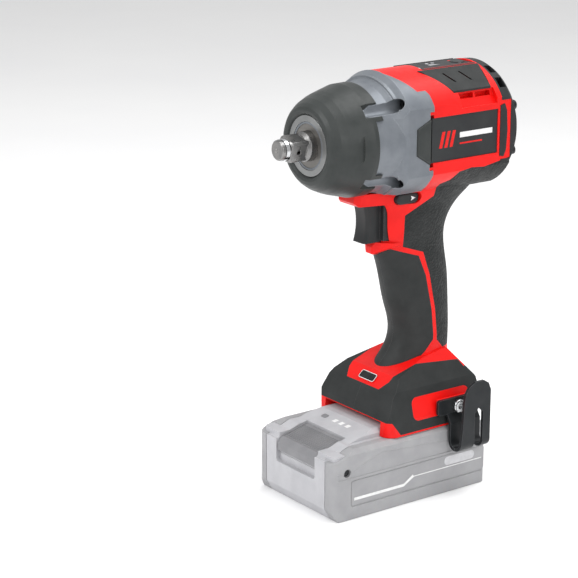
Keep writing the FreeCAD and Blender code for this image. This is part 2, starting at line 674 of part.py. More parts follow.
def build_spindle():
    shaft = revolve_y([(-31.0, 0), (-31.0, 3.6), (-30.6, 4.0), (-25.4, 4.0), (-25.4, SPINDLE_R - 0.3),
                       (-25.1, SPINDLE_R), (CARRIER_FRONT_Y, SPINDLE_R), (CARRIER_FRONT_Y, 0)])
    front = rod_y(19.4, CARRIER_FRONT_Y, GEAR_FRONT_Y - 0.3)
    rear = rod_y(19.4, GEAR_REAR_Y + 0.3, CARRIER_REAR_Y)
    posts = [spun(rod_y(2.2, GEAR_FRONT_Y - 0.5, GEAR_REAR_Y + 0.5, 0, DRIVE_Z - 13.5), 120 * k)
             for k in range(3)]
    spindle = fuse(shaft, front, rear, *posts)
    pin_holes = [rod_y(2.0, CARRIER_FRONT_Y - 1, CARRIER_REAR_Y + 1, x, z) for x, z in planet_places()]
    sun_room = rod_y(6.6, GEAR_FRONT_Y - 1.4, CARRIER_REAR_Y + 1)
    save("spindle", biggest(cut(spindle, sun_room, *pin_holes, *balls())))
    save("planet_pins", group([rod_y(2.0, CARRIER_FRONT_Y, CARRIER_REAR_Y, x, z)
                               for x, z in planet_places()]))
    save("carrier_bearing", ring_y(19.46, CASE_BORE_R - 0.02, CARRIER_REAR_Y - 1.4, CARRIER_REAR_Y + 0.4))


# ---- involute gears -----------------------------------------------------------------
def involute_outline(teeth, outer, root, thinning, turn):
    """Closed outline of a spur gear: radial below the base circle, involute above it."""
    pitch = GEAR_MODULE * teeth / 2
    pressure = math.radians(PRESSURE_ANGLE)
    base = pitch * math.cos(pressure)
    half_tooth = math.pi / (2 * teeth) - thinning / (2 * pitch) + math.tan(pressure) - pressure
    first = max(base, root)
    radii = [first + (outer - first) * k / 4 for k in range(5)]
    flank = [(r, half_tooth - math.sqrt(max(r * r / base ** 2 - 1, 0)) + math.acos(min(base / r, 1)))
             for r in radii]
    if root < base:
        flank = [(root, flank[0][1])] + flank
    points = []
    for tooth in range(teeth):
        centre = turn + 2 * math.pi * tooth / teeth
        for r, a in flank:
            points.append((r, centre - a))
        for r, a in reversed(flank):
            points.append((r, centre + a))
    return [(r * math.cos(a), r * math.sin(a)) for r, a in points]


def gear(teeth, outer, root, thinning, turn, y0, y1, x, z):
    outline = involute_outline(teeth, outer, root, thinning, turn)
    return prism_y([(x + px, z + pz) for px, pz in outline], y0, y1)


ADDENDUM = 0.8 * GEAR_MODULE
DEDENDUM = 1.05 * GEAR_MODULE
BACKLASH = 0.07


def build_gears():
    planet_pitch = GEAR_MODULE * PLANET_TEETH / 2
    for index, (x, z) in enumerate(planet_places()):
        aim = math.radians(90 + 120 * index)
        half_pitch = math.pi / PLANET_TEETH
        planet = gear(PLANET_TEETH, planet_pitch + ADDENDUM, planet_pitch - DEDENDUM, BACKLASH,
                      aim + half_pitch, GEAR_FRONT_Y, GEAR_REAR_Y, x, z)
        save("planet_gear_%d" % (index + 1), planet.cut(rod_y(2.06, 0, 20, x, z)))
    ring_pitch = GEAR_MODULE * RING_TEETH / 2
    teeth_gap = gear(RING_TEETH, ring_pitch + DEDENDUM, ring_pitch - ADDENDUM, -BACKLASH,
                     math.radians(90) + math.pi / RING_TEETH, 0, 20, 0, DRIVE_Z)
    blank = rod_y(CASE_BORE_R - 0.02, GEAR_FRONT_Y - 0.6, GEAR_REAR_Y + 0.6)
    save("ring_gear", blank.cut(teeth_gap))


# ---- motor --------------------------------------------------------------------------
ROTOR_R = 13.4
STATOR_FRONT_Y = 28.0
STATOR_REAR_Y = 56.0


def build_motor():
    sun_pitch = GEAR_MODULE * SUN_TEETH / 2
    sun = gear(SUN_TEETH, sun_pitch + ADDENDUM, sun_pitch - DEDENDUM, BACKLASH, math.radians(90),
               GEAR_FRONT_Y - 0.4, 15.5, 0, DRIVE_Z)
    shaft = fuse(sun, rod_y(4.0, 15.5, 79.0))
    save("rotor_shaft", shaft)
    save("rotor_core", ring_y(4.0, ROTOR_R, STATOR_FRONT_Y - 1, STATOR_REAR_Y + 1))
    yoke = ring_y(22.6, STATOR_R, STATOR_FRONT_Y, STATOR_REAR_Y)
    teeth = []
    windings = []
    for k in range(6):
        tooth = fuse(box(-2.8, 2.8, STATOR_FRONT_Y, STATOR_REAR_Y, DRIVE_Z + 14.5, DRIVE_Z + 23.5),
                     box(-5.2, 5.2, STATOR_FRONT_Y, STATOR_REAR_Y, DRIVE_Z + 14.5, DRIVE_Z + 15.8))
        teeth.append(spun(tooth, 60 * k))
        coil = box(-6.2, 6.2, STATOR_FRONT_Y - 3, STATOR_REAR_Y + 3, DRIVE_Z + 16.1, DRIVE_Z + 21.4)
        hole = box(-3.0, 3.0, STATOR_FRONT_Y - 0.4, STATOR_REAR_Y + 0.4, DRIVE_Z + 10, DRIVE_Z + 25)
        windings.append(spun(coil.cut(hole), 60 * k))
    core = cut(fuse(yoke, *teeth), rod_y(ROTOR_R + 0.6, 0, 90))
    save("stator_core", core)
    save("stator_windings", group(windings))
    plate = fuse(rod_y(30.25, CASE_REAR_Y + 0.1, CASE_REAR_Y + 2.6), rod_y(10.5, CASE_REAR_Y + 2, 22.6))
    plate = cut(plate, rod_y(8.0, 17.4, 30), rod_y(7.2, 0, 30))
    save("motor_end_plate", plate)
    save("rotor_bearings", group([ring_y(4.05, 8.0, 17.4, 22.4), ring_y(4.05, 8.0, 73.0, 78.0)]))
    hub = rod_y(7.0, 62.2, 70.0)
    disc = ring_y(4.0, 24.0, 62.2, 63.4)
    blades = [spun(box(-0.6, 0.6, 63.0, 70.0, DRIVE_Z + 6.5, DRIVE_Z + 24.0), 40 * k) for k in range(9)]
    save("fan", cut(fuse(hub, disc, *blades), rod_y(4.0, 60, 72)))


CAP_SIDE_Y = 76.0
CAP_TOP_Y = 68.6


def cap_outside():
    body = revolve_y([(CAP_TOP_Y, 0), (CAP_TOP_Y, 38.7), (75.0, 38.4), (77.6, 36.8), (80.6, 33.8),
                      (84.2, 29.0), (87.2, 24.2), (88.8, 20.6), (88.8, 0)])
    return body.common(box(-BARREL_HALF - 0.2, BARREL_HALF + 0.2, CAP_TOP_Y, 90, DRIVE_Z - BARREL_DROP, 262))


def cap_tongue():
    """Where the red side walls run back into the cap's edge."""
    return box(20.0, 40.0, CAP_TOP_Y - 1, CAP_SIDE_Y, DRIVE_Z - 17.5, DRIVE_Z + 18.5)


def build_rear_cap():
    cap = cut(cap_outside(), cap_tongue(), mirrored(cap_tongue()))
    room = revolve_y([(66, 0), (66, 30.3), (78.0, 30.3), (83.0, 26.5), (87.0, 19.5), (87.0, 0)])
    boss = rod_y(10.5, 72.5, 88.0)
    cap = fuse(cap.cut(room), boss.cut(rod_y(8.0, 73.0, 78.0)).cut(rod_y(5.0, 70.0, 81.0)))
    slots = []
    for turn in (26, 43.5, 136.5, 154, 206, 223.5, 316.5, 334):
        slot = box(-3.7, 3.7, 70.2, 75.6, DRIVE_Z + 24.0, DRIVE_Z + 45.0)
        slots.append(spun(slot, turn))
    cap = cut(cap, *slots)
    screws = []
    for turn in CAP_SCREW_TURNS:
        place = spun(rod_y(3.0, 79.0, 81.4, 0, DRIVE_Z + CAP_SCREW_R), turn)
        well = spun(rod_y(3.2, 79.0, 92.0, 0, DRIVE_Z + CAP_SCREW_R), turn)
        shank = spun(rod_y(1.28, 58.6, 79.1, 0, DRIVE_Z + CAP_SCREW_R), turn)
        socket = spun(rod_y(1.4, 80.0, 82.4, 0, DRIVE_Z + CAP_SCREW_R), turn)
        cap = cut(cap, well, shank)
        screws.append(fuse(place.cut(socket), shank))
    save("rear_cap", biggest(cap))
    save("rear_cap_screws", group(screws))


# ---- controls -----------------------------------------------------------------------
def build_controls():
    front = Part.Arc(V(0, -13.6, 157.4), V(0, -11.6, 168.5), V(0, -13.4, 180.4)).toShape()
    rear = Part.makePolygon([V(0, -13.4, 180.4), V(0, 5.5, 180.4), V(0, 5.5, 157.4), V(0, -13.6, 157.4)])
    blade = Part.Face(Part.Wire(front.Edges + rear.Edges)).extrude(V(2 * TRIGGER_HALF, 0, 0))
    blade.translate(V(-TRIGGER_HALF, 0, 0))
    face = [edge for edge in blade.Edges if edge.CenterOfMass.y < -11 and abs(edge.CenterOfMass.x) > 6]
    blade = blade.makeFillet(2.2, face)
    flange = box(-FLANGE_HALF, FLANGE_HALF, -2.0, 5.5, 158.4, 180.4)
    stem = rod_y(2.0, 5.0, 14.0, 0, 170.0)
    save("trigger", fuse(blade, flange, stem))
    x0, x1, y0, y1, z0, z1 = SWITCH_BOX
    switch = box(x0 + 0.3, x1 - 0.3, y0, y1, z0 + 0.3, z1 - 0.3)
    save("switch_body", switch.cut(rod_y(2.3, y0 - 1, 24.0, 0, 170.0)))
    lever = lever_form(LEVER_HALF, 0.0)
    ends = [edge for edge in lever.Edges if abs(abs(edge.CenterOfMass.x) - LEVER_HALF) < 0.01]
    lever = lever.makeFillet(1.2, ends)
    save("direction_lever", lever)


def build_electronics():
    save("control_board", box(-25.0, 25.0, 4.0, 50.0, 60.0, 62.0))
    block = box(-19.0, 19.0, 14.0, 43.0, 52.0, 58.5)
    save("terminal_block", block)
    blades = [box(x - 0.4, x + 0.4, 20.0, 38.0, 43.8, 52.0) for x in BLADE_X]
    save("terminal_blades", group(blades))


BLADE_X = (-15.0, -5.0, 5.0, 15.0)


# ---- belt hook ----------------------------------------------------------------------
HOOK_SCREW_Y = 35.6
HOOK_SCREW_Z = 54.9
HOOK_THREAD_R = 2.1
HOOK_PLATE_X = 36.0      # inner face of the plate on the foot
HOOK_LEG_X = 39.6        # inner face of the two legs beside the pack
HOOK_OUTER_X = 49.0
HOOK_BOTTOM_Z = 29.0
HOOK_TOP_Z = 72.8


def build_belt_hook():
    """A strap bent into a J: plate on the foot, two legs stepped out past the pack, round bottom
    and a tall outer plate with a slot."""
    r_out = (HOOK_OUTER_X + HOOK_PLATE - HOOK_LEG_X) / 2
    middle_x = HOOK_LEG_X + r_out
    bend_z = HOOK_BOTTOM_Z + r_out
    y0, y1 = 20.0, 50.5
    bend = Part.makeCylinder(r_out, y1 - y0, V(middle_x, y0, bend_z), V(0, 1, 0))
    bend = bend.cut(Part.makeCylinder(r_out - HOOK_PLATE, y1 - y0, V(middle_x, y0, bend_z), V(0, 1, 0)))
    bend = bend.cut(box(30, 60, y0 - 1, y1 + 1, bend_z, bend_z + 20))
    path = [(HOOK_PLATE_X, 60.4), (HOOK_PLATE_X, 50.6), (HOOK_LEG_X, 45.0), (HOOK_LEG_X, bend_z)]
    back = [(x + HOOK_PLATE, z + (0.6 if 44 < z < 51 else 0)) for x, z in reversed(path)]
    inner = prism_y(path + back, y0, y1)
    outer = box(HOOK_OUTER_X, HOOK_OUTER_X + HOOK_PLATE, y0, y1, bend_z, HOOK_TOP_Z)
    strap = fuse(inner, bend, outer)
    low = HOOK_BOTTOM_Z - 1
    inner_view = fuse(round_edges(box(30, middle_x, y0, y1, 50.8, 60.4), 1.5, along_x),
                      box(30, middle_x, 27.0, 38.0, low, 51.6), box(30, middle_x, 44.6, y1, low, 51.6))
    outer_view = prism_x([(27.0, low), (38.0, low), (38.0, 53.0), (41.3, 56.2), (44.6, 53.0), (44.6, low),
                          (y1, low), (y1, 66.0), (48.6, 70.6), (45.0, HOOK_TOP_Z), (38.5, HOOK_TOP_Z),
                          (33.5, 70.4), (30.6, 66.0), (29.6, 60.0), (29.0, 45.0)], middle_x, 55)
    hook = strap.common(fuse(inner_view, outer_view))
    hook = hook.cut(rod_x(2.3, 30, 44, HOOK_SCREW_Y, HOOK_SCREW_Z))
    save("belt_hook", biggest(hook))
    head_x = HOOK_PLATE_X + HOOK_PLATE
    head = rod_x(4.2, head_x, head_x + 2.4, HOOK_SCREW_Y, HOOK_SCREW_Z)
    head = head.makeFillet(0.9, [e for e in head.Edges if e.CenterOfMass.x > head_x + 2.3])
    socket = rod_x(1.8, head_x + 0.9, head_x + 3, HOOK_SCREW_Y, HOOK_SCREW_Z)
    shank = rod_x(2.05, 26.0, head_x + 0.1, HOOK_SCREW_Y, HOOK_SCREW_Z)
    save("belt_hook_screw", fuse(head.cut(socket), shank))


# ---- battery pack -------------------------------------------------------------------
SIDE_SPLIT_X = 30.0      # seam between front panel and the side shells
CELL_R = 9.15
CELL_LENGTH = 65.0
LATCH_HALF = 19.0


def pack_form():
    block = box(-PACK_HALF, PACK_HALF, -PACK_HALF_LENGTH, PACK_HALF_LENGTH, 0, SHOULDER_Z)
    block = round_edges(block, 5.0, upright)
    nose_cut = prism_x([(-70, 37.0), (-58.6, 37.0), (-41.0, 43.6), (-41.0, 60), (-70, 60)], -50, 50)
    heel_cut = prism_x([(61, 36.0), (59.6, 36.0), (53.0, 43.2), (53.0, 50), (61, 50)], -50, 50)
    belly_cut = prism_x([(-61, -1), (-61, 7.0), (-60.0, 7.0), (-56.0, 0.0), (-56.0, -1)], -50, 50)
    roof = prism_y([(-PACK_HALF, 0), (-PACK_HALF, 40.6), (-34.5, SHOULDER_Z), (34.5, SHOULDER_Z),
                    (PACK_HALF, 40.6), (PACK_HALF, 0), (36.2, -0.01), (-36.2, -0.01)], -61, 61)
    return cut(block.common(roof), nose_cut, heel_cut, belly_cut)


def spine_form():
    side = [(-PACK_HALF_LENGTH, 10.0), (-PACK_HALF_LENGTH, 34.5), (-57.2, 38.6), (-21.0, SPINE_Z),
            (50.0, SPINE_Z), (52.0, 46.0), (52.0, 10.0)]
    front = [(-SPINE_HALF, 10.0), (-SPINE_HALF, 45.6), (-24.6, SPINE_Z), (24.6, SPINE_Z),
             (SPINE_HALF, 45.6), (SPINE_HALF, 10.0)]
    return prism_x(side, -SPINE_HALF, SPINE_HALF).common(prism_y(front, -61, 60))


def cell_places():
    pitch = 2 * CELL_R + 0.3
    return [(-29.5 + pitch * column, 12.0 + (pitch - 0.1) * row) for column in range(5) for row in range(2)]


def latch_outline():
    """Side view of the latch key lying in its pocket."""
    return [(-59.3, 30.0), (-59.3, 34.6), (-56.4, 38.0), (-37.4, 42.6), (-37.4, 40.6), (-55.6, 36.2),
            (-57.6, 34.0), (-57.6, 30.0)]


def build_battery():
    form = pack_form()
    inner = round_edges(box(-35.8, 35.8, -57.4, 57.4, 2.2, 40.4), 3.0, upright)
    side = form.common(box(SIDE_SPLIT_X, 50, -61, 61, -1, 50)).cut(inner)
    side = side.cut(spine_form())
    label = round_edges(box(PACK_HALF - 0.6, PACK_HALF + 1, -47.0, 59.0, 7.7, 24.6), 2.0, along_x)
    upper_flat = prism_x([(-60.5, 31.0), (-49.0, 29.0), (-23.7, 37.8), (61.0, 32.0), (61.0, 26.2),
                          (-60.5, 26.2)], PACK_HALF - 0.35, PACK_HALF + 1)
    screw = rod_x(2.6, PACK_HALF - 2.0, PACK_HALF + 1, -49.4, 29.8)
    side = cut(side, label, upper_flat, screw)
    save("battery_side_left", biggest(side))
    save("battery_side_right", biggest(mirrored(side)))

    centre = form.common(box(-SIDE_SPLIT_X + 0.5, SIDE_SPLIT_X - 0.5, -61, 61, -1, 50))
    case = fuse(inner, centre, spine_form())
    cells_room = prism_x([(-38.9, 2.8), (-38.9, 34.5), (-35.4, 38.2), (-34.6, 40.2), (50.0, 40.2),
                          (50.8, 38.2), (54.3, 34.5), (54.3, 2.8)], -33.2, 33.2)
    board_space = box(-24.0, 24.0, -20.0, 39.0, 40.0, 44.6)
    key_pocket = prism_x([(-61, 27.5), (-61, 41.0), (-36.5, 47.0), (-36.5, 38.05), (-54.7, 33.6),
                          (-56.7, 31.5), (-56.7, 27.5)], -LATCH_HALF - 0.5, LATCH_HALF + 0.5)
    finger_slot = box(-LATCH_HALF - 0.5, LATCH_HALF + 0.5, -61.0, -56.9, 22.6, 30.0)
    finger_slot = round_edges(finger_slot, 2.2, along_y)
    rail_groove = box(SPINE_HALF - 2.8, SPINE_HALF + 2, -12.0, 61, 44.9, 47.3)
    slots = [box(x - 1.0, x + 1.0, 12.0, 61, 43.2, 49) for x in BLADE_X]
    gauge_seat = gauge_form(0.0)
    case = cut(case, cells_room, board_space, key_pocket, finger_slot, rail_groove, mirrored(rail_groove),
               gauge_seat, *slots)
    save("battery_case", biggest(case))
    key = prism_x(latch_outline(), -LATCH_HALF, LATCH_HALF)
    save("battery_latch", key)
    save("gauge_panel", gauge_form(0.1))
    cells = [rod_x(CELL_R, -CELL_LENGTH / 2, CELL_LENGTH / 2, y, z) for y, z in cell_places()]
    save("battery_cells", group(cells))
    save("pack_board", box(-22.0, 22.0, -8.0, 38.0, 40.6, 41.8))
    save("pack_contacts", group([both_jaws(x) for x in BLADE_X]))


def both_jaws(x):
    """A fork contact standing on the pack's board, one prong each side of the blade."""
    base = box(x - 1.5, x + 1.5, 24.0, 30.0, 41.8, 42.6)
    left = box(x - 0.95, x - 0.6, 24.0, 30.0, 42.6, 46.4)
    right = box(x + 0.6, x + 0.95, 24.0, 30.0, 42.6, 46.4)
    return fuse(base, left, right)


def gauge_form(clear):
    """Gauge panel sunk in the slope between latch and foot."""
    plan = [(-17.0 + clear, -33.0 + clear), (17.0 - clear, -33.0 + clear), (17.0 - clear, -21.5 - clear),
            (-17.0 + clear, -21.5 - clear)]
    slope = prism_x([(-35, 42.8), (-35, 44.15), (-21.2, 47.75), (-21.2, 46.4)], -20, 20)
    return prism_z(plan, 40.0, 50.0).common(slope)


def along_y(edge):
    ends = [vertex.Point for vertex in edge.Vertexes]
    if len(ends) < 2:
        return False
    return abs(ends[0].x - ends[1].x) < 1e-4 and abs(ends[0].z - ends[1].z) < 1e-4


def main():
    os.makedirs("parts", exist_ok=True)
    build_shells()
    build_housing_screws()
    build_side_trim()
    build_control_panel()
    build_gear_case()
    build_nose()
    build_anvil()
    build_hammer()
    build_spindle()
    build_gears()
    build_motor()
    build_rear_cap()
    build_controls()
    build_electronics()
    build_belt_hook()
    build_battery()


main()
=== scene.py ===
"""Looks of the cordless impact wrench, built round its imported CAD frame.

Metres in the CAD part's frame: +Z up, the drive points along -Y, +X is the tool's left side.
"""

import json
import math

import bmesh
import bpy
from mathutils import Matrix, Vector


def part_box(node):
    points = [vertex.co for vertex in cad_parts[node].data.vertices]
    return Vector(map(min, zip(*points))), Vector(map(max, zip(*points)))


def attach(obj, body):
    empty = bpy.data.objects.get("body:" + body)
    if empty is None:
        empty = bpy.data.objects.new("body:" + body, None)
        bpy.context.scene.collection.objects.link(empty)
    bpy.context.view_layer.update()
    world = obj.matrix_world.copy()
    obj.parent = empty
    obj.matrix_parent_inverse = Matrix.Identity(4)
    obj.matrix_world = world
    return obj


MM = 0.001
BEVEL_SAMPLES = 4
FILM = 0.05               # mm, thickness of a printed mark
METAL_SPECULAR = 0.5
PLASTIC_SPECULAR = 0.22   # dull, so that the black mouldings stay dark

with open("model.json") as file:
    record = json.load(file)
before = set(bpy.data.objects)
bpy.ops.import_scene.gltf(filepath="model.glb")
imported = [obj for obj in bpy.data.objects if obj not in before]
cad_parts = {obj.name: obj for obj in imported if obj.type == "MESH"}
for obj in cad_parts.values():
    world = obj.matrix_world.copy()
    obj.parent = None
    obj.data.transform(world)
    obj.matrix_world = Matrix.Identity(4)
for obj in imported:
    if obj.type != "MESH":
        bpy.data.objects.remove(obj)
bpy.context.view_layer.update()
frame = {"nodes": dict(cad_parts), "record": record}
nodes = frame["nodes"]


# ---- materials ----------------------------------------------------------------------
def add(tree, kind, **settings):
    """A new shader node with the named inputs and properties set."""
    node = tree.nodes.new(kind)
    for key, value in settings.items():
        if key in node.inputs:
            node.inputs[key].default_value = value
        else:
            setattr(node, key, value)
    return node


def remap(tree, source, low, high, to_low, to_high):
    node = add(tree, "ShaderNodeMapRange")
    tree.links.new(source, node.inputs["Value"])
    for name, value in (("From Min", low), ("From Max", high), ("To Min", to_low), ("To Max", to_high)):
        node.inputs[name].default_value = value
    return node.outputs["Result"]


def mix(tree, factor, first, second):
    """Colour mix; first and second are colours or sockets."""
    node = add(tree, "ShaderNodeMix", data_type="RGBA")
    tree.links.new(factor, node.inputs["Factor"])
    for value, socket in ((first, node.inputs[6]), (second, node.inputs[7])):
        if isinstance(value, tuple):
            socket.default_value = (*value, 1.0)
        else:
            tree.links.new(value, socket)
    return node.outputs[2]


def texture(tree, kind, coordinates, size_mm, detail=3.0):
    """Noise, cells or bands whose features are about size_mm across."""
    scale = 1000.0 / size_mm
    if kind == "cells":
        node = add(tree, "ShaderNodeTexVoronoi", feature="F1", Scale=scale)
        out = node.outputs["Distance"]
    elif kind == "bands":
        node = add(tree, "ShaderNodeTexWave", wave_type="BANDS", bands_direction="Y")
        node.inputs["Scale"].default_value = scale / 6.28
        node.inputs["Distortion"].default_value = 0.4
        out = node.outputs["Fac"]
    else:
        node = add(tree, "ShaderNodeTexNoise", Scale=scale, Detail=detail, Roughness=0.55)
        out = node.outputs["Fac"]
    tree.links.new(coordinates, node.inputs["Vector"])
    return out


def material(name, base, shade, rough, metallic=0.0, grain=("noise", 0.6), depth_mm=0.02, patch_mm=14.0,
             stretch=(1.0, 1.0, 1.0), edge=None, round_mm=0.35, coat=0.0, speck=None):
    """A surface with patchy colour and roughness, a fine relief, soft edges, and paler edges that are painted
    edge highlight together with wear.
    """
    made = bpy.data.materials.new(name)
    made.use_nodes = True
    tree = made.node_tree
    tree.nodes.clear()
    output = add(tree, "ShaderNodeOutputMaterial")
    shader = add(tree, "ShaderNodeBsdfPrincipled", Metallic=metallic)
    shader.inputs["Coat Weight"].default_value = coat
    shader.inputs["Specular IOR Level"].default_value = METAL_SPECULAR if metallic > 0.6 else PLASTIC_SPECULAR
    shader.inputs["Coat Roughness"].default_value = 0.25
    tree.links.new(shader.outputs["BSDF"], output.inputs["Surface"])

    place = add(tree, "ShaderNodeTexCoord").outputs["Object"]
    mapping = add(tree, "ShaderNodeMapping", Scale=stretch)
    tree.links.new(place, mapping.inputs["Vector"])

    patches = remap(tree, texture(tree, "noise", place, patch_mm), 0.35, 0.65, 0.0, 1.0)
    colour = mix(tree, patches, base, shade)
    if speck:
        dots = remap(tree, texture(tree, "noise", place, 0.35, 1.0), 0.60, 0.72, 0.0, 0.5)
        colour = mix(tree, dots, colour, speck)

    soft = add(tree, "ShaderNodeBevel", samples=BEVEL_SAMPLES, Radius=round_mm * MM)
    # edge: a paler colour at the edges, painted edge highlight together with wear, mixed in where the
    # softened normal turns away from the true one
    if edge:
        surface = add(tree, "ShaderNodeNewGeometry")
        facing = add(tree, "ShaderNodeVectorMath", operation="DOT_PRODUCT")
        tree.links.new(soft.outputs["Normal"], facing.inputs[0])
        tree.links.new(surface.outputs["Normal"], facing.inputs[1])
        # mask of the paler edges: painted edge highlight together with wear
        edge_sheen_and_wear = remap(tree, facing.outputs["Value"], 0.97, 0.80, 0.0, 0.55)
        colour = mix(tree, edge_sheen_and_wear, colour, edge)
    tree.links.new(colour, shader.inputs["Base Color"])

    uneven = texture(tree, "noise", place, patch_mm * 0.3)
    tree.links.new(remap(tree, uneven, 0.3, 0.7, rough[0], rough[1]), shader.inputs["Roughness"])

    relief = texture(tree, grain[0], mapping.outputs["Vector"], grain[1])
    bump = add(tree, "ShaderNodeBump", Strength=1.0, Distance=depth_mm * MM)
    tree.links.new(relief, bump.inputs["Height"])
    tree.links.new(soft.outputs["Normal"], bump.inputs["Normal"])
    tree.links.new(bump.outputs["Normal"], shader.inputs["Normal"])
    return made


